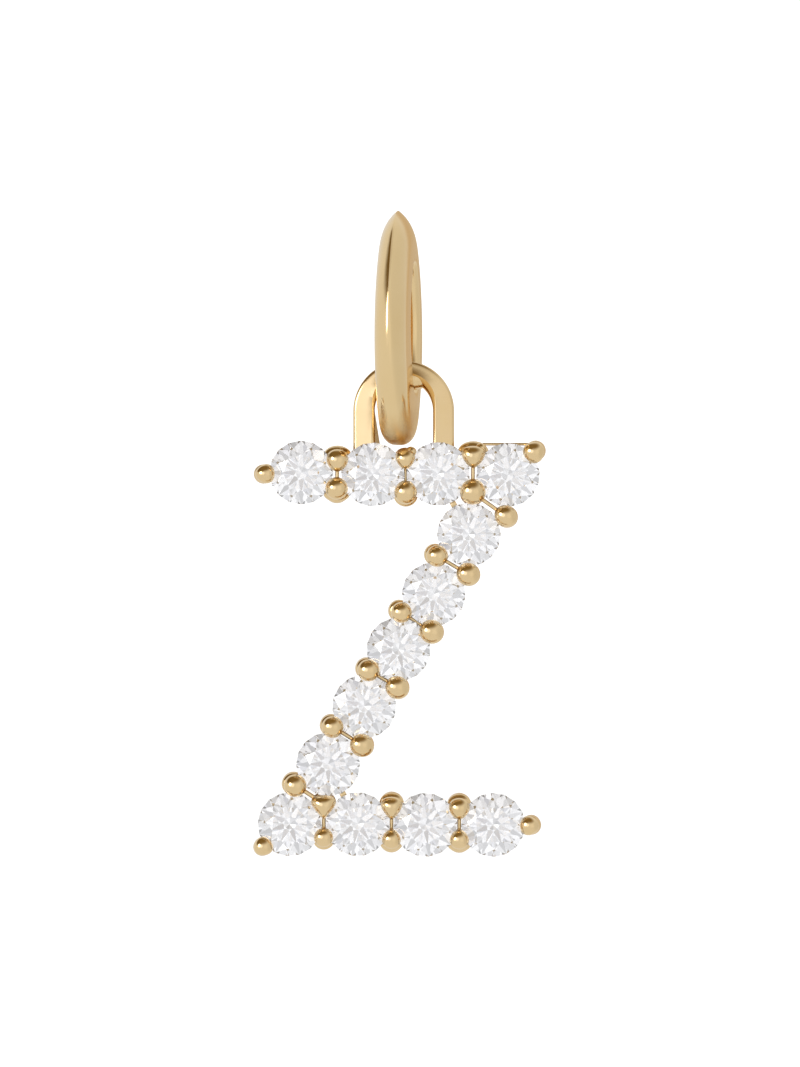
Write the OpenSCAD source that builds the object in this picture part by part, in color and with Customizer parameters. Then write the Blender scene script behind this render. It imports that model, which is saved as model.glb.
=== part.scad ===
// Initial pendant: the letter Z in thirteen round stones held by shared prongs, with a stirrup
// loop soldered behind its top row and a knife-edge bail ring that the loop hangs in.
// The origin is where a chain bears inside the top of the bail ring.
// X runs to the viewer's right, Z runs up, and the stones face the viewer, along -Y.

/* [Stones] */
// Diameter of each round stone
stone_d = 1.48; // [1.4:0.02:1.7]
// Gap between neighbours in the two level rows
row_gap = 0.105; // [0.08:0.005:0.16]
// Gap between neighbours on the diagonal
diag_gap = 0.08; // [0.07:0.005:0.14]
// Lean of the diagonal, in degrees up from level
diag_lean = 58.5; // [56:0.5:62]
// How far the middle of a row's last pair lies beyond the end of the diagonal
diag_inset = 0.11; // [0:0.01:0.2]
// Diameter across the corners of the table facet
table_d = 0.84; // [0.7:0.02:0.95]
// Slope of the crown, in degrees
crown_angle = 34.5; // [30:0.5:38]
// Slope of the pavilion, in degrees
pavilion_angle = 40.8; // [39:0.1:43]
// Thickness of the girdle
girdle_t = 0.045; // [0.03:0.005:0.08]
// How far the lower girdle facets run down the pavilion, as a share of its radius
lower_half = 0.76; // [0.7:0.01:0.82]

/* [Setting] */
// Clearance between a stone and the metal round it
stone_clear = 0.02; // [0.01:0.005:0.04]
// Depth of the seats behind the girdles
seat_depth = 0.95; // [0.8:0.05:1.2]
// How far a seat's front rim lies inside the edge of its stone
seat_inset = 0.05; // [0.03:0.01:0.1]
// How much narrower a seat's radius is at the back than at the front
seat_taper = 0.08; // [0:0.01:0.12]
// Width of the ledge that a stone rests on
seat_ledge = 0.32; // [0.26:0.01:0.36]
// How far a seat's front rim lies behind the girdle
rim_drop = 0.1; // [0.08:0.01:0.16]
// Diameter of a usual prong's bead
bead_d = 0.5; // [0.42:0.01:0.56]
// How far a bead reaches over the edge of its stone
bead_lap = 0.085; // [0.06:0.005:0.12]
// Height of a bead's centre in front of the girdles
bead_rise = 0.1; // [0.06:0.01:0.16]
// Diameter of the post under a usual bead
post_d = 0.6; // [0.5:0.01:0.66]
// Diameter of the post's neck, where it meets the bead
neck_d = 0.44; // [0.36:0.01:0.48]
// How far the posts stop in front of the back of the seats
post_recess = 0.08; // [0.04:0.01:0.2]
// Width of the bars between paired prongs
bar_w = 0.14; // [0.1:0.01:0.2]
// Depth of the bars
bar_t = 0.4; // [0.25:0.05:0.6]

/* [Loop] */
// Outer width of the stirrup loop
loop_w = 2.34; // [2.2:0.02:2.6]
// Width of the loop's metal, seen from the front
loop_leg = 0.46; // [0.4:0.02:0.52]
// Depth of the loop's metal
loop_depth = 0.54; // [0.46:0.02:0.58]
// Radius that rounds the loop's inner side
loop_round = 0.29; // [0.26:0.01:0.34]
// How far the hanging bar stands down from the crown of the arch
bar_saddle = 0.22; // [0.2:0.01:0.26]
// Diameter of the hanging bar, which turns in the bail ring
hang_bar_d = 0.52; // [0.44:0.02:0.56]
// How far the ends of the hanging bar stay inside the loop's outer edge
bar_inset = 0.02; // [0.01:0.01:0.05]
// Height of the loop's feet above the middle of the top row
loop_foot = 0.44; // [0.36:0.02:0.56]
// How far the loop's middle lies to the right of the bail ring's
loop_side = 0.12; // [0:0.01:0.13]
// How far the girdles lie in front of the loop's middle plane
loop_set = 0.42; // [0.36:0.01:0.5]

/* [Bail ring] */
// Outer height of the bail ring
bail_h = 5.44; // [5:0.02:6]
// Outer depth of the bail ring, from front to back
bail_depth = 4.1; // [3.9:0.02:4.4]
// Radius of the ring's outer curve at its top and bottom
bail_end_r = 1.62; // [1.56:0.02:1.7]
// Thickness of the ring from its knife edge to its inner face
bail_t = 1.24; // [1.16:0.02:1.26]
// Width of the ring across the shoulders of its knife edge
bail_shoulder_w = 0.76; // [0.66:0.02:0.8]
// Angle between each face and the ring's plane at the top of the knife edge
bail_edge = 52; // [48:1:60]
// How much blunter the knife edge gets by the bottom of the ring, in degrees
bail_soften = 20; // [0:1:22]
// Flare of the ring's sides from the shoulders to the inner face, in degrees
bail_flare = 3.5; // [1:0.5:4]
// Radius that rounds the inner corners
bail_inner_r = 0.18; // [0.16:0.01:0.22]
// Turn of the ring about the vertical, in degrees
bail_turn = 7; // [0:0.5:10]
// Clearance between the hanging bar and the ring
hang_clear = 0.04; // [0.03:0.005:0.08]
// Clearance between the ring's lowest reach and the prong below it
bail_clear = 0.07; // [0.05:0.01:0.15]
// Clearance of the way cut through the letter for the ring's knife edge
path_clear = 0.042; // [0.03:0.002:0.044]
// Width of that way, as a share of the width across the ring's shoulders
path_share = 0.75; // [0.7:0.05:1]

/* [Hidden] */
END_STEPS = 12; // steps round each end of the bail ring
SIDE_STEPS = 10; // steps along each of its sides
STONE_TURN = 17; // degrees from one stone's turn about its axis to the next one's
FACET_TURN = 45; // degrees after which a stone's facets repeat
$fn = 64;

// Stones in writing order, each with its hand-set shift from its even place
// columns: right and up, in shares of stone_d
TOP_ROW = [[-0.02, 0.02], [0.03, -0.01], [-0.02, 0], [0, -0.015]];
DIAGONAL_ROW = [[0, 0], [0, -0.035], [0, 0], [0.015, 0.005], [0, 0]];
BOTTOM_ROW = [[0.01, 0.01], [0, 0.01], [-0.01, 0], [-0.02, 0]];

TOP = len(TOP_ROW);
DIAGONAL = len(DIAGONAL_ROW);
NUDGES = concat(TOP_ROW, DIAGONAL_ROW, BOTTOM_ROW);
STONES = len(NUDGES);

// Prongs that two stones share, in writing order
// columns: first stone, second stone, side (1 is left of the way from first to second),
// bead in shares of bead_d, post in shares of post_d, shift outwards in shares of stone_d
SHARED = [
    [0, 1, 1, 1.02, 1, 0], [0, 1, -1, 1.06, 1, 0.03],
    [1, 2, 1, 0.9, 0.75, -0.08], [1, 2, -1, 1.06, 0.95, -0.02],
    [2, 3, 1, 1.06, 1, 0.05], [2, 3, -1, 1.2, 1, 0.01],
    [3, 4, 1, 1.02, 0.85, 0.1],
    [4, 5, -1, 1.02, 0.85, 0.015], [4, 5, 1, 1.1, 0.9, 0.035],
    [5, 6, -1, 0.98, 0.85, -0.015], [5, 6, 1, 1.14, 0.9, -0.035],
    [6, 7, -1, 1.04, 0.85, -0.04], [6, 7, 1, 1.1, 0.9, -0.02],
    [7, 8, -1, 1.02, 0.85, -0.01], [7, 8, 1, 1.1, 0.9, 0],
    [8, 9, -1, 1.06, 0.9, 0.04],
    [9, 10, 1, 1.16, 1, 0.015], [9, 10, -1, 0.9, 0.85, -0.07],
    [10, 11, 1, 1.02, 1, 0.01], [10, 11, -1, 0.9, 0.9, -0.04],
    [11, 12, 1, 1.02, 1, -0.01], [11, 12, -1, 0.92, 0.9, -0.04],
];

// Prongs at the letter's free ends and outer corners
// columns: stone, direction in degrees, bead, post and shift outwards as above
ENDS = [
    [0, 182, 0.9, 0.75, -0.015], [3, 41, 1, 0.8, -0.035],
    [9, 220, 0.88, 0.7, -0.045], [12, 359, 0.9, 0.75, -0.01],
];

// Pairs of shared prongs, by their place in that table, that a bar joins between two stones
BARS = [
    [0, 1], [2, 3], [4, 5], [5, 6], [7, 8], [9, 10], [11, 12], [13, 14],
    [15, 16], [16, 17], [18, 19], [20, 21],
];

// Pairs of stones whose seats a short tie joins, where no prong stands between them
TIES = [[2, 4], [8, 10]];

TOP_PRONG = 2; // the shared prong under the bail ring

function stone_name(i) = str("stone_", i < 9 ? "0" : "", i + 1);
function unit(v) = v / norm(v);
function left_of(v) = [-v[1], v[0]];
function polar(r, a) = [r * cos(a), r * sin(a)];
function arc(c, r, a0, a1, steps) = [for (k = [0:steps]) c + polar(r, a0 + (a1 - a0) * k / steps)];

// Stones of the letter, in its own plane: x to the right and y up from the letter's middle
stone_r = stone_d / 2;
row_pitch = stone_d + row_gap;
diag_pitch = stone_d + diag_gap;
diag_end = polar(diag_pitch * (DIAGONAL - 1) / 2, diag_lean);
row_rise = sqrt(pow(diag_pitch, 2) - pow(row_pitch / 2 - diag_inset, 2));
row_y = diag_end[1] + row_rise;
function top_place(k) = [diag_end[0] + diag_inset + (k - TOP + 1.5) * row_pitch, row_y];
function diag_place(k) = diag_end * (1 - 2 * k / (DIAGONAL - 1));
function even_place(i) =
    i < TOP ? top_place(i)
    : i < TOP + DIAGONAL ? diag_place(i - TOP)
    : -top_place(STONES - 1 - i);
function place(i) = even_place(i) + NUDGES[i] * stone_d;

// Prongs stand at one distance from the stones that they hold
prong_reach = stone_r + bead_d / 2 - bead_lap;
function shared_prong(row) =
    let (a = place(row[0]), b = place(row[1]), half = norm(b - a) / 2)
    (a + b) / 2 + left_of(unit(b - a)) * row[2]
        * (sqrt(max(pow(prong_reach, 2) - pow(half, 2), 0)) + row[5] * stone_d);
function end_prong(row) = place(row[0]) + polar(prong_reach + row[4] * stone_d, row[1]);

// Stone, along its own axis from the middle of the girdle
table_r = table_d / 2;
crown_h = (stone_r - table_r) * tan(crown_angle);
pavilion_h = stone_r * tan(pavilion_angle);
star_r = (table_r * cos(22.5) + stone_r) / 2;
star_bulge = star_r * (1 - cos(22.5)) * tan(crown_angle); // height of its stars over a plain cone
low_r = stone_r * (1 - lower_half);
low_bulge = low_r * (1 - cos(22.5)) * tan(pavilion_angle); // the same for its mains, backwards

// Heights in the finished pendant
bail_mid_z = -(bail_h / 2 - bail_t);
axis_z = bail_mid_z * 2 + hang_clear + hang_bar_d / 2;
bail_reach = axis_z - (bail_mid_z - bail_h / 2);
top_prong_y = shared_prong(SHARED[TOP_PRONG])[1] + SHARED[TOP_PRONG][3] * bead_d / 2;
letter_z = axis_z - bail_reach - bail_clear - top_prong_y;
loop_in_r = loop_w / 2 - loop_leg;
arch_z = axis_z - hang_bar_d / 2 + bar_saddle - loop_in_r;
loop_foot_z = letter_z + row_y + loop_foot;

// Draws in the letter's plane, with the viewer on the +z side and the girdles at z = 0
module in_plane() {
    translate([0, -loop_set, 0]) rotate([90, 0, 0]) children();
}
module at_stone(i) {
    translate([place(i)[0], letter_z + place(i)[1], 0]) children();
}

// Round brilliant with a table, 8 stars, 8 kites, 16 upper and 16 lower girdle facets and 8 mains
module brilliant() {
    half = girdle_t / 2;
    star_z = half + (stone_r - star_r) * tan(crown_angle) + star_bulge;
    low_z = -half - (stone_r - low_r) * tan(pavilion_angle) - low_bulge;
    points = concat(
        facet_ring(8, table_r, half + crown_h, 0),
        facet_ring(8, star_r, star_z, 22.5),
        facet_ring(16, stone_r, half, 0),
        facet_ring(16, stone_r, -half, 0),
        facet_ring(8, low_r, low_z, 22.5),
        [[0, 0, -half - pavilion_h]]
    );
    star = 8;
    upper = 16;
    lower = 32;
    low = 48;
    culet = 56;
    faces = concat(
        [[for (k = [0:7]) 7 - k]],
        [for (k = [0:7]) [k, (k + 1) % 8, star + k]],
        [for (k = [0:7]) [k, star + k, upper + 2 * k, star + (k + 7) % 8]],
        [for (k = [0:7]) [star + k, upper + 2 * k + 1, upper + 2 * k]],
        [for (k = [0:7]) [star + k, upper + (2 * k + 2) % 16, upper + 2 * k + 1]],
        [for (j = [0:15]) [lower + j, upper + j, upper + (j + 1) % 16, lower + (j + 1) % 16]],
        [for (k = [0:7]) [low + k, lower + 2 * k, lower + 2 * k + 1]],
        [for (k = [0:7]) [low + k, lower + 2 * k + 1, lower + (2 * k + 2) % 16]],
        [for (k = [0:7]) [culet, low + (k + 7) % 8, lower + 2 * k, low + k]]
    );
    polyhedron(points = points, faces = faces);
}
function facet_ring(n, r, z, start) =
    [for (k = [0:n - 1]) [r * cos(start + k * 360 / n), r * sin(start + k * 360 / n), z]];

// One stone in its place, each turned a little differently about its axis
module stone(i) {
    color("lavender") in_plane() at_stone(i) rotate([0, 0, (i * STONE_TURN) % FACET_TURN])
        brilliant();
}

// Room for a stone with its clearance, open through the back of the seat
module stone_pocket() {
    edge_r = stone_r + stone_clear;
    edge_z = (girdle_t + stone_clear) / 2;
    hole_r = stone_r - seat_ledge;
    top_z = edge_z + (edge_r - table_r) * tan(crown_angle) + star_bulge;
    ledge_z = -edge_z - (edge_r - hole_r) * tan(pavilion_angle) - low_bulge;
    rotate_extrude()
        polygon([
            [0, top_z], [table_r, top_z], [edge_r, edge_z], [edge_r, -edge_z],
            [hole_r, ledge_z], [hole_r, -2 * seat_depth], [0, -2 * seat_depth],
        ]);
}

// Tapered collet under a stone, before its pocket is cut
module seat() {
    front_r = stone_r - seat_inset;
    translate([0, 0, -seat_depth])
        cylinder(r1 = front_r - seat_taper, r2 = front_r, h = seat_depth - rim_drop);
}

// Post, neck and bead in one turned shape
module prong(bead, post) {
    bead_r = bead * bead_d / 2;
    post_r = post * post_d / 2;
    neck_r = min(neck_d, post_d * post) / 2;
    rotate_extrude()
        union() {
            polygon([
                [0, post_recess - seat_depth], [post_r, post_recess - seat_depth],
                [post_r, -rim_drop], [neck_r, bead_rise / 2], [neck_r, bead_rise], [0, bead_rise],
            ]);
            intersection() {
                translate([0, bead_rise]) circle(r = bead_r);
                translate([0, bead_rise - bead_r]) square(2 * bead_r);
            }
        }
}

// Flat bar from one place in the letter's plane to another
module bar(a, b) {
    run = b - a;
    translate([a[0], a[1], -rim_drop - bar_t])
        rotate([0, 0, atan2(run[1], run[0])])
            translate([0, -bar_w / 2, 0]) cube([norm(run), bar_w, bar_t]);
}

// Stirrup's section, from its inner side outwards
module loop_section() {
    intersection() {
        translate([0, -loop_depth / 2]) square([loop_leg, loop_depth]);
        translate([loop_round, 0]) circle(r = loop_round);
    }
}

// Stirrup: arch, two legs and the hanging bar across the arch's crown
module loop() {
    translate([loop_side, 0, -loop_set]) {
        translate([0, arch_z, 0]) {
            rotate_extrude(angle = 180) translate([loop_in_r, 0]) loop_section();
            for (side = [0, 1])
                mirror([side, 0, 0])
                    rotate([90, 0, 0])
                        linear_extrude(height = arch_z - loop_foot_z)
                            translate([loop_in_r, 0]) loop_section();
        }
        intersection() {
            translate([0, axis_z, 0]) rotate([0, 90, 0])
                cylinder(d = hang_bar_d, h = 2 * loop_in_r, center = true);
            translate([0, arch_z, 0])
                cylinder(r = loop_w / 2 - bar_inset, h = loop_depth, center = true);
        }
    }
}

// Way of the bail ring's knife edge as the letter swings below it
module bail_path() {
    translate([0, axis_z, -loop_set]) rotate([0, 90, 0])
        cylinder(r = bail_reach + path_clear, h = bail_shoulder_w * path_share, center = true);
}

// All the gold below the bail: seats, prongs, bars, ties and loop, soldered as one
module setting() {
    color("goldenrod") in_plane()
        difference() {
            union() {
                difference() {
                    union() {
                        for (i = [0:STONES - 1]) at_stone(i) seat();
                        translate([0, letter_z, 0]) {
                            for (row = SHARED) translate(shared_prong(row)) prong(row[3], row[4]);
                            for (row = ENDS) translate(end_prong(row)) prong(row[2], row[3]);
                            for (pair = BARS)
                                bar(shared_prong(SHARED[pair[0]]), shared_prong(SHARED[pair[1]]));
                            for (pair = TIES) bar(place(pair[0]), place(pair[1]));
                        }
                    }
                    bail_path();
                }
                loop();
            }
            for (i = [0:STONES - 1]) at_stone(i) stone_pocket();
        }
}

// Half of the ring's section from its knife edge, at x = 0, to its inner face
function bail_half_section(edge) =
    let (
        face_r = bail_shoulder_w / 2 / (cos(bail_flare) - cos(edge)),
        shoulder_x = -face_r * (sin(edge) - sin(bail_flare)),
        corner_x = bail_inner_r - bail_t,
        corner_y = bail_shoulder_w / 2 + (shoulder_x - corner_x) * tan(bail_flare)
            - bail_inner_r / cos(bail_flare)
    )
    concat(
        arc(-face_r * [sin(edge), cos(edge)], face_r, 90 - edge, 90 - bail_flare, 6),
        arc([corner_x, corner_y], bail_inner_r, 90 - bail_flare, 180, 3)
    );
function bail_section(direction) =
    let (
        edge = bail_edge + bail_soften * (1 - sin(direction)) / 2,
        half = bail_half_section(edge),
        last = len(half) - 1
    )
    concat(half, [for (k = [0:last - 1]) [half[last - k][0], -half[last - k][1]]]);

// Stations round an oval of four arcs that meet without a corner
// columns: centre of the arc, radius, direction of the normal in degrees
bail_end_y = bail_h / 2 - bail_end_r;
bail_side_r = (pow(bail_depth / 2, 2) + pow(bail_end_y, 2) - pow(bail_end_r, 2))
    / (bail_depth - 2 * bail_end_r);
bail_meet = atan2(bail_side_r - bail_depth / 2, bail_end_y);
function bail_stations() = [
    for (half = [1, -1])
        each concat(
            [for (k = [0:END_STEPS - 1])
                [[0, half * bail_end_y], bail_end_r,
                    half * 90 + bail_meet * (2 * k / END_STEPS - 1)]],
            [for (k = [0:SIDE_STEPS - 1])
                [[half * (bail_side_r - bail_depth / 2), 0], bail_side_r,
                    half * 90 + bail_meet + (180 - 2 * bail_meet) * k / SIDE_STEPS]]
        )
];

// Oval ring: its section carried round the stations
module bail() {
    stations = bail_stations();
    n = len(bail_section(0));
    m = len(stations);
    points = [
        for (at = stations, p = bail_section(at[2]))
            let (q = at[0] + polar(at[1] + p[0], at[2])) [q[0], q[1], p[1]]
    ];
    faces = [
        for (i = [0:m - 1], j = [0:n - 1])
            let (next = (i + 1) % m, side = (j + 1) % n)
            [i * n + j, i * n + side, next * n + side, next * n + j]
    ];
    color("gold")
        translate([0, 0, bail_mid_z]) rotate([0, 0, -bail_turn]) rotate([90, 0, 90])
            polyhedron(points = points, faces = faces);
}

bail();
setting();
for (i = [0:STONES - 1])
    stone(i);
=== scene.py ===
"""Initial pendant: the letter Z in round white stones, hung from a knife-edge gold bail ring."""

import functools
import math

import bmesh
import bpy
from mathutils import Matrix, Vector


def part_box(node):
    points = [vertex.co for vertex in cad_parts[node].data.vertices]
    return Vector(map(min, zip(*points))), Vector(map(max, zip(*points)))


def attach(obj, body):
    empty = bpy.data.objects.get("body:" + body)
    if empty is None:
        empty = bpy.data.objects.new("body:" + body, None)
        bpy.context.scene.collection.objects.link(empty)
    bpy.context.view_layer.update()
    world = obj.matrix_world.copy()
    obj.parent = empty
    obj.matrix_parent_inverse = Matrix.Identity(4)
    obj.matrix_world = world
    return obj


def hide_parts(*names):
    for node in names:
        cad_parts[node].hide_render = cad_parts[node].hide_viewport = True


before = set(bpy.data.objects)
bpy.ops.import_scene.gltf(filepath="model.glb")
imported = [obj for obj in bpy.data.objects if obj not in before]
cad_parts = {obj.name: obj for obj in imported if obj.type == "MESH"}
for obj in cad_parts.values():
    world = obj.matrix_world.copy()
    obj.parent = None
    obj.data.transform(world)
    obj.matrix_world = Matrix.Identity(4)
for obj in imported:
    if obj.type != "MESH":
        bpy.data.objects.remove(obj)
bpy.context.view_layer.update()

# Shapes are made in millimetres and scaled once, when a piece is finished.
MM = 0.001

# Stones and their setting, with the solid model's names and sizes
STONE_D = 1.48
STONE_R = STONE_D / 2
STONES = [f"stone_{i:02d}" for i in range(1, 14)]
STONE_CLEAR = 0.02
GIRDLE_T = 0.045
CROWN_ANGLE = math.radians(34.5)
PAVILION_ANGLE = math.radians(40.8)
TABLE_R = 0.42
SEAT_DEPTH = 0.95
SEAT_INSET = 0.05
SEAT_TAPER = 0.08
SEAT_HOLE_R = 0.42
BEAD_D = 0.5
BEAD_LAP = 0.085
BEAD_RISE = 0.1
POST_D = 0.6
POST_RECESS = 0.08
PRONG_REACH = STONE_R + BEAD_D / 2 - BEAD_LAP

# The setting's fine shapes, which the solid model has plainer. Heights are from the girdle's middle.
POCKET_W = (GIRDLE_T + STONE_CLEAR) / 2  # half height of the groove for a girdle
POCKET_DEEPER = 0.02  # what a pocket is cut past the stone's table and its point
POST_EDGE = 0.07  # height over which a post's lower edge is softened
NECK_FROM = -0.34  # where a post starts to draw in and lean
NECK_R = 0.09  # rounding of a post's top
NECK_Z = -0.2  # height of that rounding's centre
MOUND_OUT = 0.03  # how far outwards from the post a mound's middle lies
MOUND_DEPTH = 0.24  # its half depth, which is also how far back its middle lies
END_WEDGE = -0.14  # widening and stretch of the beads at the free ends
END_STRETCH = 0.05
LOBE_FROM, LOBE_TO = -0.2, 0.02  # heights of a stub's ends
RAIL_R = 0.032
RAIL_Z = -0.12
RAIL_LAP = 0.03  # how far the rail's middle lies inside the stone's outline
RAIL_FROM, RAIL_TO = -0.56, -0.08  # its ends, from the stone's middle and from the corner post
SEAT_RIM_R = STONE_R - 0.11  # the rim stays well inside the stone's edge and behind it
SEAT_RIM_Z = -0.15
SEAT_WALL_R = STONE_R - 0.07
SEAT_WALL_Z = -0.27
SEAT_SOFT = 0.03  # softening of the edges round the open back
BAR_SOFT = 0.02
BAR_SIZE = (0.09, -0.14, 0.36)  # width, height of the upper side, and depth
TIE_SIZE = (0.14, -0.1, 0.4)
TIE_START = 0.45  # share of the way between two stones that a tie leaves free at each end

# Stirrup loop, with the solid model's names and sizes
LOOP_W = 2.34
LOOP_LEG = 0.46
LOOP_DEPTH = 0.54
LOOP_ROUND = 0.29
LOOP_IN_R = LOOP_W / 2 - LOOP_LEG
LOOP_SIDE = 0.12
LOOP_SET = 0.42
LOOP_FOOT = 0.44
BAR_SADDLE = 0.22
HANG_BAR_D = 0.52

# The loop's own shapes in the scene
LOOP_CORNER = 0.07  # rounding of the legs' inner corners
LOOP_EDGE = 0.09  # rounding of the outer edges
LOOP_SLOPE = math.radians(14)  # fall of the front and the back towards the outer edges
LOOP_CREST = 0.26  # where that fall meets the arch's round inner side
LEFT_LEG_MORE = 0.04  # what the legs are wider inwards
RIGHT_LEG_MORE = 0.03
LEFT_FOOT_MORE = 0.18  # what the back of the left leg's foot is wider still
# the hanging bar's end: radius, and distance from the bar's middle
BAR_END = [(0, 0.72), (0.09, 0.68), (0.17, 0.58), (0.22, 0.45), (0.25, 0.32), (HANG_BAR_D / 2, 0.2)]

# Bail ring, with the solid model's names and sizes. It softens more towards its lower end.
BAIL_H = 5.44
BAIL_DEPTH = 4.1
BAIL_END_R = 1.62
BAIL_T = 1.24
BAIL_SHOULDER_W = 0.76
BAIL_EDGE = 52  # degrees at which the faces leave the ridge at the top
BAIL_SOFTEN = 32  # degrees more at the lower end, where the solid has 20
BAIL_FLARE = math.radians(3.5)
BAIL_INNER_R = 0.18
BAIL_TURN = math.radians(7)
HANG_CLEAR = 0.04
BAIL_MID_Z = -(BAIL_H / 2 - BAIL_T)
AXIS_Z = BAIL_MID_Z * 2 + HANG_CLEAR + HANG_BAR_D / 2
ARCH_Z = AXIS_Z - HANG_BAR_D / 2 + BAR_SADDLE - LOOP_IN_R
RIDGE_SOFT = 0.003  # rounding of the knife edge at the top
RIDGE_SOFT_MORE = 0.05  # and what is added at the lower end
SPIN_R = 4  # radius of the round ring that is laid on the oval

# From the letter's plane (right, up, towards the viewer) to the object's frame
IN_PLANE = Matrix.Translation((0, -LOOP_SET, 0)) @ Matrix.Rotation(math.pi / 2, 4, "X")

# Prongs that two stones share, in writing order
# columns: first stone, second stone, side (1 is left of the way from first to second),
# bead in shares of BEAD_D, post in shares of POST_D, shift outwards in shares of STONE_D,
# lean of the bead towards the stones, length of its tip, widening and stretch of its outer side
# in shares of the bead's radius, half width and rise of the mound behind it in mm (0 is none)
SHARED = [
    (0, 1, 1, 1.02, 0.95, 0.000, 0.05, 0.05, 0.08, 0.00, 0.34, 0.29),
    (0, 1, -1, 1.06, 0.95, 0.030, 0.06, 0.00, 0.00, 0.00, 0.32, 0.26),
    (1, 2, 1, 0.90, 0.75, -0.080, 0.03, 0.05, 0.20, 0.00, 0.26, 0.24),
    (1, 2, -1, 1.06, 0.95, -0.020, 0.05, 0.05, 0.00, 0.06, 0.00, 0.00),
    (2, 3, 1, 1.06, 0.95, 0.050, 0.06, 0.05, 0.30, -0.10, 0.36, 0.29),
    (2, 3, -1, 1.20, 1.00, 0.010, 0.02, 0.00, 0.00, 0.00, 0.00, 0.00),
    (3, 4, 1, 1.02, 0.85, 0.100, 0.04, 0.10, 0.00, 0.12, 0.00, 0.00),
    (4, 5, -1, 1.02, 0.85, 0.015, 0.06, 0.00, 0.00, 0.00, 0.00, 0.00),
    (4, 5, 1, 1.08, 0.90, 0.035, 0.03, 0.00, 0.06, 0.10, 0.00, 0.00),
    (5, 6, -1, 0.98, 0.85, -0.015, 0.07, 0.00, 0.00, 0.00, 0.00, 0.00),
    (5, 6, 1, 1.12, 0.90, -0.035, 0.03, 0.00, 0.06, 0.10, 0.00, 0.00),
    (6, 7, -1, 1.04, 0.85, -0.040, 0.07, 0.00, 0.00, 0.00, 0.00, 0.00),
    (6, 7, 1, 1.08, 0.90, -0.020, 0.03, 0.00, 0.06, 0.12, 0.00, 0.00),
    (7, 8, -1, 1.02, 0.85, -0.010, 0.06, 0.00, 0.00, 0.00, 0.00, 0.00),
    (7, 8, 1, 1.08, 0.90, 0.000, 0.03, 0.00, 0.06, 0.12, 0.00, 0.00),
    (8, 9, -1, 1.06, 0.90, 0.040, 0.06, 0.00, 0.00, 0.00, 0.00, 0.00),
    (9, 10, 1, 1.08, 0.95, 0.010, 0.02, 0.20, 0.44, -0.14, 0.22, 0.20),
    (9, 10, -1, 0.90, 0.85, -0.070, 0.04, 0.00, 0.00, 0.00, 0.20, 0.22),
    (10, 11, 1, 0.98, 0.95, 0.005, 0.04, 0.22, 0.28, -0.05, 0.28, 0.22),
    (10, 11, -1, 0.88, 0.90, -0.040, 0.05, 0.10, 0.05, 0.00, 0.27, 0.25),
    (11, 12, 1, 0.98, 0.95, -0.010, 0.05, 0.06, 0.12, 0.00, 0.29, 0.22),
    (11, 12, -1, 0.90, 0.90, -0.040, 0.05, 0.05, 0.08, 0.00, 0.29, 0.25),
]

# Stubs beside two of them: prong, place right of it and above it, radius, in mm
LOBES = [(2, 0.13, 0.13, 0.13), (4, 0.17, 0.12, 0.12)]
# Prongs at the letter's free ends and outer corners
# columns: stone, direction in degrees, then bead, post, shift and lean as above
ENDS = [
    (0, 182, 0.90, 0.75, -0.015, 0.05),
    (3, 41, 1.00, 0.80, -0.035, 0.05),
    (9, 220, 0.88, 0.70, -0.045, 0.04),
    (12, 359, 0.90, 0.75, -0.010, 0.05),
]

# Pairs of shared prongs, by their place in that table, that a bar joins between two stones
BARS = [(0, 1), (2, 3), (4, 5), (5, 6), (7, 8), (9, 10), (11, 12), (13, 14),
        (15, 16), (16, 17), (18, 19), (20, 21)]

# Pairs of stones whose seats a short tie joins
TIES = [(2, 4), (8, 10)]


def linear(colour):
    """Linear RGBA of an sRGB hex colour."""
    parts = [int(colour[i:i + 2], 16) / 255 for i in (1, 3, 5)]
    return [c / 12.92 if c <= 0.04045 else ((c + 0.055) / 1.055) ** 2.4 for c in parts] + [1]


def add(tree, kind, settings, links=None):
    """Adds a node, sets its properties and input sockets, and links what comes in."""
    made = tree.nodes.new(kind)
    for name, value in settings.items():
        if isinstance(name, str) and hasattr(made, name):
            setattr(made, name, value)
        else:
            made.inputs[name].default_value = value
    for name, source in (links or {}).items():
        tree.links.new(source, made.inputs[name])
    return made


def material(name):
    """An empty node material with its Principled shader, and the object's own coordinates."""
    made = bpy.data.materials.new(name)
    made.use_nodes = True
    tree = made.node_tree
    shader = tree.nodes["Principled BSDF"]
    place = add(tree, "ShaderNodeTexCoord", {}).outputs["Object"]
    return made, tree, shader, place


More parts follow.
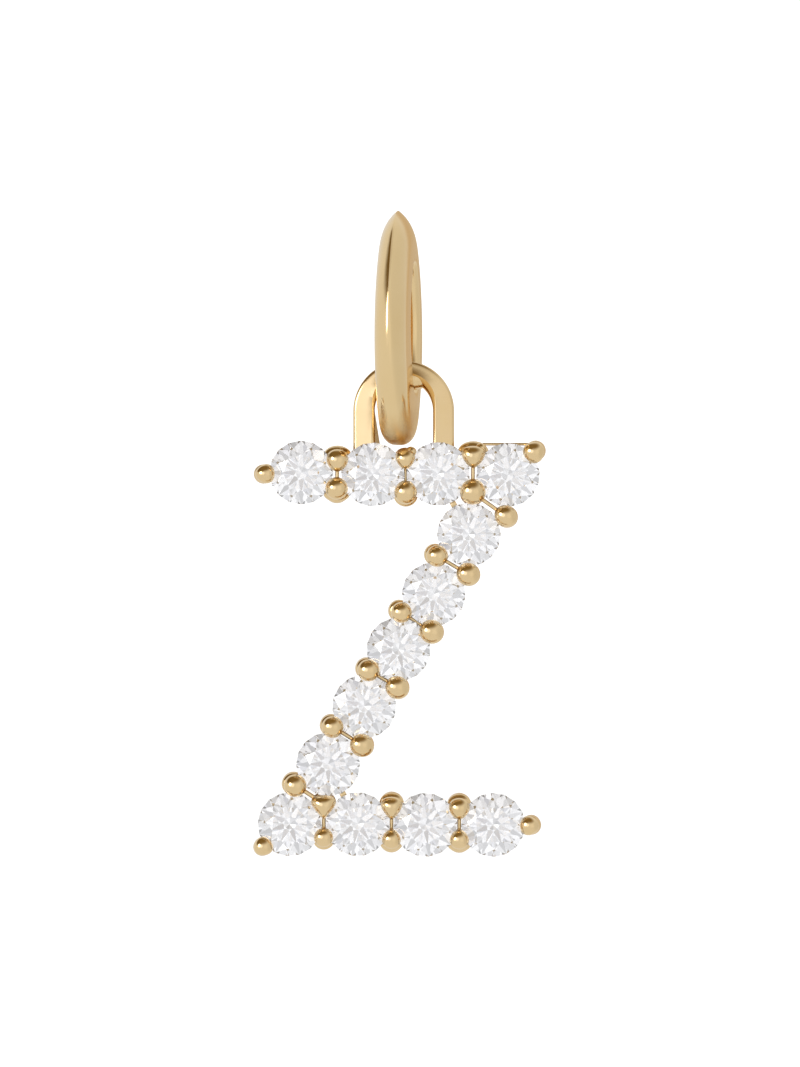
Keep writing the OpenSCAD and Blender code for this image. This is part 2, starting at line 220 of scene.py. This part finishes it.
def gold(name, colour, shade, rough, worn, wave_mm, streak, recess_shade_depth, rubbed):
    """Yellow gold of 14 karat, cast and polished by hand.

    The eye gets a warm mirror with slow waves from the polishing mop (wave_mm: their size),
    fine wipe marks, duller metal in the recesses that the mop can't reach, with painted shade
    that makes them darker and redder (recess_shade_depth: how far behind the girdles they are at
    their dullest and darkest, or 0), and satin metal where one link has rubbed on the other
    (rubbed: from and to heights, or None). Sizes are in mm."""
    made, tree, shader, place = material(name)
    shader.inputs["Metallic"].default_value = 1
    slow = add(tree, "ShaderNodeTexNoise", {"Scale": 1 / (wave_mm * MM), "Detail": 2}, {0: place})
    drawn = add(tree, "ShaderNodeMapping", {"Scale": streak}, {0: place})
    # marks of 0.09 mm, which are coarser than a mop's so that they show
    wipe = add(tree, "ShaderNodeTexNoise",
               {"Scale": 1 / (0.09 * MM), "Detail": 4, "Roughness": 0.65}, {0: drawn.outputs[0]})
    # pits and dust, drawn 0.16 mm apart, which is coarser than real ones, so that they show
    pits = add(tree, "ShaderNodeTexVoronoi", {"Scale": 1 / (0.16 * MM)}, {0: place})
    tint = add(tree, "ShaderNodeMix", {"data_type": "RGBA", 6: linear(colour), 7: linear(shade)},
               {0: slow.outputs[0]})
    colour_out = tint.outputs[2]
    dull = add(tree, "ShaderNodeMapRange", {1: 0.3, 2: 0.75, 3: rough, 4: worn},
               {0: wipe.outputs[0]})
    dull_out = dull.outputs[0]
    split = add(tree, "ShaderNodeSeparateXYZ", {}, {0: place})
    if rubbed:
        satin = add(tree, "ShaderNodeMapRange",
                    {1: rubbed[0] * MM, 2: rubbed[1] * MM, "interpolation_type": "SMOOTHSTEP"},
                    {0: split.outputs[2]})
        dull_out = add(tree, "ShaderNodeMath", {"operation": "MULTIPLY_ADD", 1: 0.10},
                       {0: satin.outputs[0], 2: dull_out}).outputs[0]
    # painted shade: behind the girdles the colour turns darker and redder, and the metal rougher
    if recess_shade_depth:
        depth = add(tree, "ShaderNodeMapRange",
                    {1: (-LOOP_SET + 0.02) * MM, 2: (-LOOP_SET + recess_shade_depth) * MM,
                     "interpolation_type": "SMOOTHSTEP"}, {0: split.outputs[1]})
        recess_shade = add(tree, "ShaderNodeMix", {"data_type": "RGBA", 7: linear("#D9AE66")},
                     {0: depth.outputs[0], 6: colour_out})
        colour_out = recess_shade.outputs[2]
        dull_out = add(tree, "ShaderNodeMath", {"operation": "MULTIPLY_ADD", 1: 0.16},
                       {0: depth.outputs[0], 2: dull_out}).outputs[0]
    tree.links.new(colour_out, shader.inputs["Base Color"])
    tree.links.new(dull_out, shader.inputs["Roughness"])
    waves = add(tree, "ShaderNodeBump", {"Strength": 0.6, "Distance": 0.012 * MM},
                {"Height": slow.outputs[0]})
    marks = add(tree, "ShaderNodeBump", {"Strength": 0.25, "Distance": 0.0012 * MM},
                {"Height": wipe.outputs[0], "Normal": waves.outputs[0]})
    specks = add(tree, "ShaderNodeBump", {"Strength": 0.2, "Distance": 0.001 * MM},
                 {"Height": pits.outputs[0], "Normal": marks.outputs[0]})
    normal_out = specks.outputs[0]
    if rubbed:
        # fine dents of 0.01 mm where the links rub, close enough to blur what the metal mirrors
        dents = add(tree, "ShaderNodeTexNoise", {"Scale": 1 / (0.01 * MM), "Detail": 0}, {0: place})
        normal_out = add(tree, "ShaderNodeBump", {"Distance": 0.0045 * MM},
                         {"Strength": satin.outputs[0], "Height": dents.outputs[0],
                          "Normal": normal_out}).outputs[0]
    tree.links.new(normal_out, shader.inputs["Normal"])
    return made


def brilliant_stone(name):
    """Colourless round brilliant, polished facets over a bruted girdle.

    The eye gets hard-edged light and dark patches that change from facet to facet, a frosted
    line round the edge, and faint smears where a finger has touched the crown."""
    made, tree, shader, place = material(name)
    shader.inputs["Transmission Weight"].default_value = 1
    shader.inputs["IOR"].default_value = 2.42
    smear = add(tree, "ShaderNodeTexNoise", {"Scale": 1 / (0.5 * MM), "Detail": 3}, {0: place})
    film = add(tree, "ShaderNodeMapRange", {1: 0.5, 2: 0.8, 3: 0, 4: 0.05}, {0: smear.outputs[0]})
    tint = add(tree, "ShaderNodeMix",
               {"data_type": "RGBA", 6: linear("#FFFFFF"), 7: linear("#F7F7FC")}, {0: smear.outputs[0]})
    # the girdle is the part whose normal lies in the letter's plane
    facing = add(tree, "ShaderNodeSeparateXYZ", {},
                 {0: add(tree, "ShaderNodeTexCoord", {}).outputs["Normal"]})
    out = add(tree, "ShaderNodeMath", {"operation": "ABSOLUTE"}, {0: facing.outputs[1]})
    girdle = add(tree, "ShaderNodeMapRange", {1: 0.15, 2: 0.05}, {0: out.outputs[0]})
    rough = add(tree, "ShaderNodeMath", {"operation": "MULTIPLY_ADD", 1: 0.2},
                {0: girdle.outputs[0], 2: film.outputs[0]})
    tint = add(tree, "ShaderNodeMix", {"data_type": "RGBA", 7: linear("#A6A8B2")},
               {0: girdle.outputs[0], 6: tint.outputs[2]})
    tree.links.new(rough.outputs[0], shader.inputs["Roughness"])
    tree.links.new(tint.outputs[2], shader.inputs["Base Color"])
    # painted glow: where a ray has crossed more than four faces, the stone glows faintly white instead
    # of showing black corners
    crossed = add(tree, "ShaderNodeMath", {"operation": "GREATER_THAN", 1: 4.5},
                  {0: add(tree, "ShaderNodeLightPath", {}).outputs["Ray Depth"]})
    painted_glow = add(tree, "ShaderNodeMath", {"operation": "MULTIPLY", 1: 0.16}, {0: crossed.outputs[0]})
    shader.inputs["Emission Color"].default_value = linear("#FFFFFF")
    tree.links.new(painted_glow.outputs[0], shader.inputs["Emission Strength"])
    # polishing lines, drawn at 0.03 mm, which is coarser than real ones
    lines = add(tree, "ShaderNodeTexNoise", {"Scale": 1 / (0.03 * MM), "Detail": 2}, {0: place})
    bump = add(tree, "ShaderNodeBump", {"Strength": 0.1, "Distance": 0.0002 * MM},
               {"Height": lines.outputs[0]})
    tree.links.new(bump.outputs[0], shader.inputs["Normal"])
    return made


def matt_board(name):
    """White matt board under the pendant: soft, even and almost without gloss."""
    made, tree, shader, place = material(name)
    fibre = add(tree, "ShaderNodeTexNoise", {"Scale": 1 / (2 * MM), "Detail": 3}, {0: place})
    tint = add(tree, "ShaderNodeMix",
               {"data_type": "RGBA", 6: linear("#FBFBFA"), 7: linear("#F6F6F5")}, {0: fibre.outputs[0]})
    tree.links.new(tint.outputs[2], shader.inputs["Base Color"])
    shader.inputs["Roughness"].default_value = 0.9
    return made


def finished(bm, name, body, finish, sharp=32):
    """Turns a mesh in millimetres into a named piece that rides on a body.

    Edges that turn by more than sharp degrees stay crisp."""
    bmesh.ops.remove_doubles(bm, verts=bm.verts, dist=1e-5)
    bmesh.ops.recalc_face_normals(bm, faces=bm.faces)
    bmesh.ops.scale(bm, vec=(MM,) * 3, verts=bm.verts)
    for face in bm.faces:
        face.smooth = True
    for edge in bm.edges:
        edge.smooth = len(edge.link_faces) != 2 or edge.calc_face_angle() < math.radians(sharp)
    mesh = bpy.data.meshes.new(name)
    bm.to_mesh(mesh)
    bm.free()
    mesh.materials.append(finish)
    piece = bpy.data.objects.new(name, mesh)
    bpy.context.scene.collection.objects.link(piece)
    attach(piece, body)
    return piece


def turned(profile, steps):
    """Spins a profile of (radius, height) points round the height axis into a closed shape.

    A profile that doesn't start and end on the axis is closed to a loop first."""
    bm = bmesh.new()
    verts = [bm.verts.new((r, 0, h)) for r, h in profile]
    edges = [bm.edges.new((a, b)) for a, b in zip(verts, verts[1:])]
    if profile[0][0] > 0 or profile[-1][0] > 0:
        edges.append(bm.edges.new((verts[-1], verts[0])))
    bmesh.ops.spin(bm, geom=verts + edges, cent=(0, 0, 0), axis=(0, 0, 1),
                   angle=2 * math.pi, steps=steps, use_merge=True)
    bmesh.ops.remove_doubles(bm, verts=bm.verts, dist=1e-5)
    bmesh.ops.recalc_face_normals(bm, faces=bm.faces)
    return bm


def put(whole, part, place):
    """Moves a part to its place and adds it to the whole."""
    bmesh.ops.transform(part, matrix=place, verts=part.verts)
    mesh = bpy.data.meshes.new("part")
    part.to_mesh(mesh)
    part.free()
    whole.from_mesh(mesh)
    bpy.data.meshes.remove(mesh)


def arc(centre, radius, start, end, steps):
    """Points along an arc, both ends included. Angles are in radians."""
    return [(centre[0] + radius * math.cos(start + (end - start) * k / steps),
             centre[1] + radius * math.sin(start + (end - start) * k / steps))
            for k in range(steps + 1)]


def stone_place(i):
    """A stone's middle in the letter's plane: right and up, in mm."""
    low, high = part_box(STONES[i])
    return Vector((low.x + high.x, low.z + high.z)) / (2 * MM)


PLACES = [stone_place(i) for i in range(len(STONES))]


def shared_place(row):
    """Where the post of a row of SHARED stands, and the direction out of the stones' gap."""
    first, second, side, _, _, shift = row[:6]
    a, b = PLACES[first], PLACES[second]
    along = (b - a).normalized()
    out = Vector((-along.y, along.x)) * side
    reach = math.sqrt(max(PRONG_REACH ** 2 - ((b - a).length / 2) ** 2, 0))
    return (a + b) / 2 + out * (reach + shift * STONE_D), out


def end_place(row):
    """The same for a row of ENDS, with the direction away from its stone."""
    stone, degrees, _, _, shift, _ = row
    out = Vector((math.cos(math.radians(degrees)), math.sin(math.radians(degrees))))
    return PLACES[stone] + out * (PRONG_REACH + shift * STONE_D), out


def at_place(at):
    return Matrix.Translation((at.x, at.y, 0))


def prong(whole, at, out, bead, post, lean, tip, wedge, stretch):
    """Post, neck and ball in one turned shape. The ball leans in over the stones."""
    ball = bead * BEAD_D / 2
    base = post * POST_D / 2
    neck = min(0.9 * ball, base * 0.8)
    neck_w = BEAD_RISE - math.sqrt(ball ** 2 - neck ** 2)
    low = POST_RECESS - SEAT_DEPTH
    profile = [(0, low), (base - 0.06, low), (base - 0.02, low + 0.02), (base, low + POST_EDGE),
               (base, NECK_FROM)]
    profile += arc((base - NECK_R, NECK_Z), NECK_R, 0, 1.2, 5)
    start = math.asin((neck_w - BEAD_RISE) / ball)
    profile += arc((0, BEAD_RISE), ball, start, math.pi / 2, 14)
    profile[-1] = (0, BEAD_RISE + ball)
    bm = turned(profile, 28)
    for v in bm.verts:
        over = min(max((v.co.z - NECK_FROM) / (BEAD_RISE - NECK_FROM), 0), 1)
        shift = -out * lean * over * over * (3 - 2 * over)
        flat = Vector((v.co.x, v.co.y))
        outward = flat.dot(out)
        share = outward / ball * over
        narrower = tip * share * share if share < 0 else 0
        longer = -tip * share if share < 0 else stretch * share
        side = (flat - out * outward) * (1 + wedge * share - narrower)
        flat = side + out * outward * (1 + longer)
        v.co.x, v.co.y = flat.x + shift.x, flat.y + shift.y
    put(whole, bm, at_place(at))


def mound(whole, at, out, wide, rise):
    """Rounded shoulder that joins a prong to the seats on both sides of it."""
    bm = bmesh.new()
    bmesh.ops.create_uvsphere(bm, u_segments=28, v_segments=16, radius=1)
    middle = at + out * MOUND_OUT
    size = Matrix.Diagonal((rise - MOUND_OUT, wide, MOUND_DEPTH, 1))
    turn = Matrix.Rotation(math.atan2(out.y, out.x), 4, "Z")
    put(whole, bm, Matrix.Translation((middle.x, middle.y, -MOUND_DEPTH)) @ turn @ size)


def rounded_rod(whole, start, end, radius, steps=16):
    """Rod with round ends from one point to another."""
    start, end = Vector(start), Vector(end)
    run = end - start
    profile = arc((0, 0), radius, -math.pi / 2, 0, 5)
    profile += arc((0, run.length), radius, 0, math.pi / 2, 5)
    profile[0], profile[-1] = (0, -radius), (0, run.length + radius)
    place = Matrix.Translation(start) @ run.to_track_quat("Z", "Y").to_matrix().to_4x4()
    put(whole, turned(profile, steps), place)


def flat_bar(whole, a, b, width, top, depth):
    """Thin bar with softened edges between two places in the letter's plane."""
    run = b - a
    bm = bmesh.new()
    bmesh.ops.create_cube(bm, size=1)
    bmesh.ops.scale(bm, vec=(run.length, width, depth), verts=bm.verts)
    bmesh.ops.bevel(bm, geom=bm.edges, offset=BAR_SOFT, affect="EDGES", segments=2, profile=0.5,
                    material=-1)
    middle = (a + b) / 2
    put(whole, bm, Matrix.Translation((middle.x, middle.y, top - depth / 2))
        @ Matrix.Rotation(math.atan2(run.y, run.x), 4, "Z"))


def pockets():
    """Room for the stones, cut out of the metal that grips and carries them."""
    bm = bmesh.new()
    edge_r = STONE_R + 0.5 * STONE_CLEAR
    top = POCKET_W + (edge_r - TABLE_R) * math.tan(CROWN_ANGLE) + POCKET_DEEPER
    low = -POCKET_W - edge_r * math.tan(PAVILION_ANGLE) - POCKET_DEEPER
    profile = [(0, top), (TABLE_R, top), (edge_r, POCKET_W), (edge_r, -POCKET_W), (0, low)]
    for at in PLACES:
        put(bm, turned(profile, 64), at_place(at))
    return bm


def cut(bm, tool):
    """Takes one mesh away from another."""
    pair = []
    for name, source in (("whole", bm), ("tool", tool)):
        mesh = bpy.data.meshes.new(name)
        bmesh.ops.recalc_face_normals(source, faces=source.faces)
        source.to_mesh(mesh)
        source.free()
        pair.append(bpy.data.objects.new(name, mesh))
        bpy.context.scene.collection.objects.link(pair[-1])
    change = pair[0].modifiers.new("cut", "BOOLEAN")
    change.operation = "DIFFERENCE"
    change.solver = "EXACT"
    change.use_self = True
    change.object = pair[1]
    shown = pair[0].evaluated_get(bpy.context.evaluated_depsgraph_get())
    made = bmesh.new()
    made.from_mesh(shown.to_mesh())
    shown.to_mesh_clear()
    for o in pair:
        mesh = o.data
        bpy.data.objects.remove(o)
        bpy.data.meshes.remove(mesh)
    return made


# Materials

RING_GOLD = gold("polished_14k_yellow_gold", "#F4D9A7", "#EFD19B", rough=0.12, worn=0.17, wave_mm=0.9,
                 streak=(1, 1, 0.12), recess_shade_depth=0, rubbed=(-3.1, -3.9))
# the letter's gold has painted shade, darker and redder, in the recesses behind the girdles
LETTER_GOLD = gold("cast_14k_yellow_gold", "#F4DAAC", "#EDCF9A", rough=0.11, worn=0.19, wave_mm=0.45,
                   streak=(1, 1, 1), recess_shade_depth=0.9, rubbed=None)
STONE = brilliant_stone("colourless_brilliant")
for name in STONES:
    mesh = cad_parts[name].data
    mesh.materials.clear()
    mesh.materials.append(STONE)

# Prongs, the mounds and stubs behind some of them, and the rail along the last stone of the top row

bm = bmesh.new()
for row in SHARED:
    at, out = shared_place(row)
    bead, post, _, lean, tip, wedge, stretch, wide, rise = row[3:]
    prong(bm, at, out, bead, post, lean, tip, wedge, stretch)
    if wide:
        mound(bm, at, out, wide, rise)
for row in ENDS:
    at, out = end_place(row)
    _, _, bead, post, _, lean = row
    prong(bm, at, out, bead, post, lean, 0, END_WEDGE, END_STRETCH)
corner = end_place(ENDS[1])[0]
rail_y = PLACES[3].y + STONE_R - RAIL_LAP
rounded_rod(bm, (PLACES[3].x + RAIL_FROM, rail_y, RAIL_Z), (corner.x + RAIL_TO, rail_y, RAIL_Z), RAIL_R)
for i, right, up, radius in LOBES:
    at = shared_place(SHARED[i])[0] + Vector((right, up))
    rounded_rod(bm, (at.x, at.y, LOBE_FROM), (at.x, at.y, LOBE_TO), radius, 24)
bm = cut(bm, pockets())
bmesh.ops.transform(bm, matrix=IN_PLANE, verts=bm.verts)
prongs = finished(bm, "shared_prongs", "letter_drop", LETTER_GOLD)
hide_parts("setting")

# Seats: turned cups with a thin rim behind each girdle and an open back, and the bars and ties

bm = bmesh.new()
ledge = -POCKET_W - (STONE_R + STONE_CLEAR - SEAT_HOLE_R) * math.tan(PAVILION_ANGLE) - 0.01
foot = STONE_R - SEAT_INSET - SEAT_TAPER
cup = [(SEAT_RIM_R - 0.035, SEAT_RIM_Z - 0.01), (SEAT_RIM_R - 0.012, SEAT_RIM_Z),
       (SEAT_RIM_R, SEAT_RIM_Z - 0.015), (SEAT_WALL_R, SEAT_WALL_Z),
       (foot + 0.01, SEAT_SOFT - SEAT_DEPTH), (foot - 0.02, -SEAT_DEPTH),
       (SEAT_HOLE_R + SEAT_SOFT, -SEAT_DEPTH), (SEAT_HOLE_R, SEAT_SOFT - SEAT_DEPTH),
       (SEAT_HOLE_R, ledge)]
for at in PLACES:
    put(bm, turned(cup, 72), at_place(at))
for a, b in BARS:
    flat_bar(bm, shared_place(SHARED[a])[0], shared_place(SHARED[b])[0], *BAR_SIZE)
for a, b in TIES:
    way = PLACES[b] - PLACES[a]
    flat_bar(bm, PLACES[a] + way * TIE_START, PLACES[b] - way * TIE_START, *TIE_SIZE)
bmesh.ops.transform(bm, matrix=IN_PLANE, verts=bm.verts)
finished(bm, "stone_seats", "letter_drop", LETTER_GOLD)

# Stirrup loop: one section carried up a leg, over the arch and down again

HALF = LOOP_DEPTH / 2
MEET_IN = math.acos(HALF / LOOP_ROUND)


def loop_section(share):
    """Section of the loop, inner side first. The legs have full inner corners (share 1),
    and the arch has round ones (share 0), where the ring runs."""
    full = arc((LOOP_CORNER, HALF - LOOP_CORNER), LOOP_CORNER, math.pi / 2, math.pi, 8)
    full += arc((LOOP_CORNER, LOOP_CORNER - HALF), LOOP_CORNER, math.pi, 3 * math.pi / 2, 8)
    round_in = arc((LOOP_ROUND, 0), LOOP_ROUND, math.pi / 2 + MEET_IN, 3 * math.pi / 2 - MEET_IN, 17)
    inner = [(a * share + c * (1 - share), b * share + d * (1 - share))
             for (a, b), (c, d) in zip(full, round_in)]
    edge_x = LOOP_LEG - LOOP_EDGE
    fall = math.tan(LOOP_SLOPE)
    edge = HALF - (edge_x - LOOP_CORNER) * fall - LOOP_EDGE / math.cos(LOOP_SLOPE)
    upper = arc((edge_x, edge), LOOP_EDGE, 0, math.pi / 2 - LOOP_SLOPE, 6)
    upper += [(x, HALF - (x - LOOP_CORNER) * fall) for x in (edge_x - 0.02, LOOP_CREST)]
    return inner + [(x, -h) for x, h in upper[::-1]] + upper


def nearest(section, x, y):
    """Number of the section's point that lies nearest."""
    return min(range(len(section)), key=lambda j: (section[j][0] - x) ** 2 + (section[j][1] - y) ** 2)


def only(geom, kind):
    """What an operator made of one kind."""
    return [g for g in geom if isinstance(g, kind)]


bm = bmesh.new()
foot_z = sum(p.y for p in PLACES[:4]) / 4 + LOOP_FOOT
flat = loop_section(0)
verts = [bm.verts.new((LOOP_IN_R + r, foot_z - ARCH_Z, h)) for r, h in flat]
loop = [bm.edges.new((a, b)) for a, b in zip(verts, verts[1:] + verts[:1])]
bmesh.ops.contextual_create(bm, geom=loop)
top = bmesh.ops.extrude_edge_only(bm, edges=loop)["geom"]
bmesh.ops.translate(bm, vec=(0, ARCH_Z - foot_z, 0), verts=only(top, bmesh.types.BMVert))
turn = bmesh.ops.spin(bm, geom=only(top, (bmesh.types.BMVert, bmesh.types.BMEdge)), cent=(0, 0, 0),
                      axis=(0, 0, 1), angle=math.pi, steps=56)["geom_last"]
down = bmesh.ops.extrude_edge_only(bm, edges=only(turn, bmesh.types.BMEdge))["geom"]
bmesh.ops.translate(bm, vec=(0, foot_z - ARCH_Z, 0), verts=only(down, bmesh.types.BMVert))
bmesh.ops.contextual_create(bm, geom=only(down, bmesh.types.BMEdge))
for v in bm.verts:
    away = Vector((v.co.x, max(v.co.y, 0)))
    cos_turn = away.x / away.length
    place = nearest(flat, away.length - LOOP_IN_R, v.co.z)
    wide, height = loop_section(cos_turn ** 4)[place]
    # the left leg's inner wall shows from the front, because its foot is wider at the back
    more = LEFT_LEG_MORE * max(-cos_turn, 0) ** 2 + RIGHT_LEG_MORE * max(cos_turn, 0) ** 2
    if v.co.y < -0.01 and away.x < 0:
        more += LEFT_FOOT_MORE * (0.5 - height / LOOP_DEPTH)
    wide -= more * max(1 - wide / LOOP_LEG, 0)
    away *= (LOOP_IN_R + wide) / away.length
    v.co = (away.x, away.y if v.co.y >= 0 else v.co.y, height)
bmesh.ops.translate(bm, vec=(LOOP_SIDE, ARCH_Z, -LOOP_SET), verts=bm.verts)
put(bm, turned([(r, -h) for r, h in BAR_END] + BAR_END[::-1], 48),
    Matrix.Translation((LOOP_SIDE, AXIS_Z, -LOOP_SET)) @ Matrix.Rotation(math.pi / 2, 4, "Y"))
bm = cut(bm, pockets())
bmesh.ops.transform(bm, matrix=IN_PLANE, verts=bm.verts)
finished(bm, "stirrup_loop", "letter_drop", LETTER_GOLD)

# Bail ring: a knife-edge section spun into a round ring, then laid on an oval of four arcs

END_Y = BAIL_H / 2 - BAIL_END_R
SIDE_R = ((BAIL_DEPTH / 2) ** 2 + END_Y ** 2 - BAIL_END_R ** 2) / (BAIL_DEPTH - 2 * BAIL_END_R)
MEET = math.atan2(SIDE_R - BAIL_DEPTH / 2, END_Y)


def bail_half_section(edge, soft):
    """Half of the ring's section, from its ridge round to its inner side.

    edge is the angle at which the face leaves the ridge, and soft the ridge's rounding."""
    face_r = BAIL_SHOULDER_W / 2 / (math.cos(BAIL_FLARE) - math.cos(edge))
    shoulder = -face_r * (math.sin(edge) - math.sin(BAIL_FLARE))
    corner_x = BAIL_INNER_R - BAIL_T
    corner_y = (BAIL_SHOULDER_W / 2 + (shoulder - corner_x) * math.tan(BAIL_FLARE)
                - BAIL_INNER_R / math.cos(BAIL_FLARE))
    face = arc((-face_r * math.sin(edge), -face_r * math.cos(edge)), face_r, math.pi / 2 - edge,
               math.pi / 2 - BAIL_FLARE, 24)
    face = [(-(math.sqrt(x * x + soft * soft) - soft), y) for x, y in face]
    return face + arc((corner_x, corner_y), BAIL_INNER_R, math.pi / 2 - BAIL_FLARE, math.pi, 8)


@functools.lru_cache
def bail_section(direction):
    """The ring's section at a direction from its centre, fuller towards the lower end."""
    low = (1 - math.sin(direction)) / 2
    half_section = bail_half_section(math.radians(BAIL_EDGE + BAIL_SOFTEN * low ** 2),
                                     RIDGE_SOFT + RIDGE_SOFT_MORE * low ** 2)
    return half_section + [(x, -y) for x, y in half_section[-1:0:-1]]


def oval(direction):
    """Centre and radius of the arc that has this direction as its normal."""
    upright = abs(math.sin(direction)) >= math.cos(MEET)
    if upright:
        return (0, math.copysign(END_Y, math.sin(direction))), BAIL_END_R
    return (-math.copysign(SIDE_R - BAIL_DEPTH / 2, math.cos(direction)), 0), SIDE_R


bm = bmesh.new()
flat = bail_section(0)
verts = [bm.verts.new((SPIN_R + x, 0, y)) for x, y in flat]
edges = [bm.edges.new((a, b)) for a, b in zip(verts, verts[1:] + verts[:1])]
bmesh.ops.spin(bm, geom=verts + edges, cent=(0, 0, 0), axis=(0, 0, 1), angle=2 * math.pi, steps=240,
               use_merge=True)
for v in bm.verts:
    turn = round(math.atan2(v.co.y, v.co.x), 5)
    place = nearest(flat, math.hypot(v.co.x, v.co.y) - SPIN_R, v.co.z)
    x, y = bail_section(turn)[place]
    centre, radius = oval(turn)
    v.co = (centre[0] + (radius + x) * math.cos(turn), centre[1] + (radius + x) * math.sin(turn), y)
bmesh.ops.transform(bm, verts=bm.verts, matrix=(
    Matrix.Translation((0, 0, BAIL_MID_Z)) @ Matrix.Rotation(-BAIL_TURN, 4, "Z")
    @ Matrix.Rotation(math.pi / 2, 4, "Z") @ Matrix.Rotation(math.pi / 2, 4, "X")))
ring = finished(bm, "bail_ring_gold", "bail_ring", RING_GOLD, sharp=22)
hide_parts("bail")

# Floor, world and lights, in metres

FLOOR_R = 6
FLOOR_Z = -0.09
bm = bmesh.new()
bmesh.ops.create_circle(bm, cap_ends=True, segments=96, radius=FLOOR_R)
bmesh.ops.translate(bm, vec=(0, 0, FLOOR_Z), verts=bm.verts)
mesh = bpy.data.meshes.new("floor")
bm.to_mesh(mesh)
bm.free()
mesh.materials.append(matt_board("white_matt_board"))
floor = bpy.data.objects.new("floor", mesh)
bpy.context.scene.collection.objects.link(floor)
# the tent's lower panels, not the floor, show in the gold and the stones
floor.visible_glossy = floor.visible_transmission = False


def direction(azimuth, elevation):
    """Unit vector from the object: azimuth 0 is towards the camera, and plus is to its right."""
    a, e = math.radians(azimuth), math.radians(elevation)
    return Vector((math.sin(a) * math.cos(e), -math.cos(a) * math.cos(e), math.sin(e)))


world = bpy.data.worlds.new("light_tent")
bpy.context.scene.world = world
world.use_nodes = True
tree = world.node_tree
background = tree.nodes["Background"]
ray = add(tree, "ShaderNodeTexCoord", {}).outputs["Generated"]
# Panels of the tent, each lighter or darker than its pale cloth
# columns: azimuth, elevation, inner and outer half angle in degrees, colour, level
PANELS = [
    (95, 0, 20, 60, "#FFFFFF", 0.70),
    (163, 8, 12, 30, "#FFE8C4", 0.62),
    (30, 0, 10, 28, "#FFFFFF", 0.86),
    (-50, 40, 8, 32, "#EBC47C", 0.30),
    (-28, 8, 10, 24, "#F3F5FF", 1.40),
    (-88, 50, 26, 40, "#E8C078", 0.20),
    (-12, 74, 14, 58, "#EBC47C", 0.26),
    (-54, 13, 10, 17, "#FFFCF8", 5.0),
]
CLOTH = 0.80  # level of the tent's cloth between the panels
SEEN = 1.25  # level behind the pendant, which the camera and the floor see as white
tent = add(tree, "ShaderNodeRGB", {}).outputs[0]
tent.default_value = (CLOTH, CLOTH, CLOTH, 1)
for azimuth, elevation, inner, outer, colour, level in PANELS:
    facing = add(tree, "ShaderNodeVectorMath",
                 {"operation": "DOT_PRODUCT", 1: direction(azimuth, elevation)}, {0: ray})
    share = add(tree, "ShaderNodeMapRange",
                {"interpolation_type": "SMOOTHSTEP", 1: math.cos(math.radians(outer)),
                 2: math.cos(math.radians(inner))}, {0: facing.outputs[1]})
    shade = [c * level for c in linear(colour)[:3]] + [1]
    tent = add(tree, "ShaderNodeMix", {"data_type": "RGBA", 7: shade},
               {0: share.outputs[0], 6: tent}).outputs[2]
# what the stones gather is broken up by the studio's small things, which no plain panel has
small = add(tree, "ShaderNodeTexNoise", {"Scale": 2.6, "Detail": 1}, {0: ray})
patches = add(tree, "ShaderNodeMapRange", {1: 0.36, 2: 0.62, 3: 0.56, 4: 1.38},
              {0: small.outputs[0]})
path = add(tree, "ShaderNodeLightPath", {})
mixed = add(tree, "ShaderNodeMix", {"data_type": "RGBA", 0: 0.75}, {6: tent, 7: patches.outputs[0]})
gathered = add(tree, "ShaderNodeMix", {"data_type": "RGBA"},
               {0: path.outputs["Is Transmission Ray"], 6: tent, 7: mixed.outputs[2]})
plain = add(tree, "ShaderNodeMath", {"operation": "MAXIMUM"},
            {0: path.outputs["Is Camera Ray"], 1: path.outputs["Is Diffuse Ray"]})
seen = add(tree, "ShaderNodeMix", {"data_type": "RGBA", 7: (SEEN, SEEN, SEEN, 1)},
           {0: plain.outputs[0], 6: gathered.outputs[2]})
tree.links.new(seen.outputs[2], background.inputs["Color"])
background.inputs["Strength"].default_value = 1


def softbox(name, azimuth, elevation, distance, width, height, level):
    """Area lamp that faces the pendant's middle, with the brightness of its face as level."""
    lamp = bpy.data.lights.new(name, "AREA")
    lamp.shape = "RECTANGLE"
    lamp.size, lamp.size_y = width, height
    lamp.energy = level * math.pi * width * height
    made = bpy.data.objects.new(name, lamp)
    back = direction(azimuth, elevation)
    made.location = Vector((0, 0, -6 * MM)) + back * distance
    made.rotation_euler = back.to_track_quat("Z", "Y").to_euler()
    made.visible_glossy = False
    bpy.context.scene.collection.objects.link(made)


softbox("overhead_softbox", 10, 80, 0.6, 0.3, 0.3, 1.2)

# Camera: straight on, at the photograph's frame

PHOTO_W, PHOTO_H = 800, 1067
ORIGIN_X, ORIGIN_Y = 398.5, 263.6  # pixel of the photograph's frame where the object's origin falls
PIXEL = 0.02315  # mm of the girdle plane a pixel
LENS = 300
SENSOR = 36
lens_y = -LOOP_SET - LENS * PHOTO_H * PIXEL / SENSOR
camera = bpy.data.objects.new("camera", bpy.data.cameras.new("camera"))
camera.data.lens = LENS
camera.data.sensor_width = SENSOR
camera.data.clip_start, camera.data.clip_end = 0.01, 50
camera.location = Vector(((PHOTO_W / 2 - ORIGIN_X) * PIXEL, lens_y,
                          (ORIGIN_Y - PHOTO_H / 2) * PIXEL)) * MM
camera.rotation_euler = (math.pi / 2, 0, 0)
bpy.context.scene.collection.objects.link(camera)
bpy.context.scene.camera = camera
bpy.context.scene.view_settings.view_transform = "Standard"
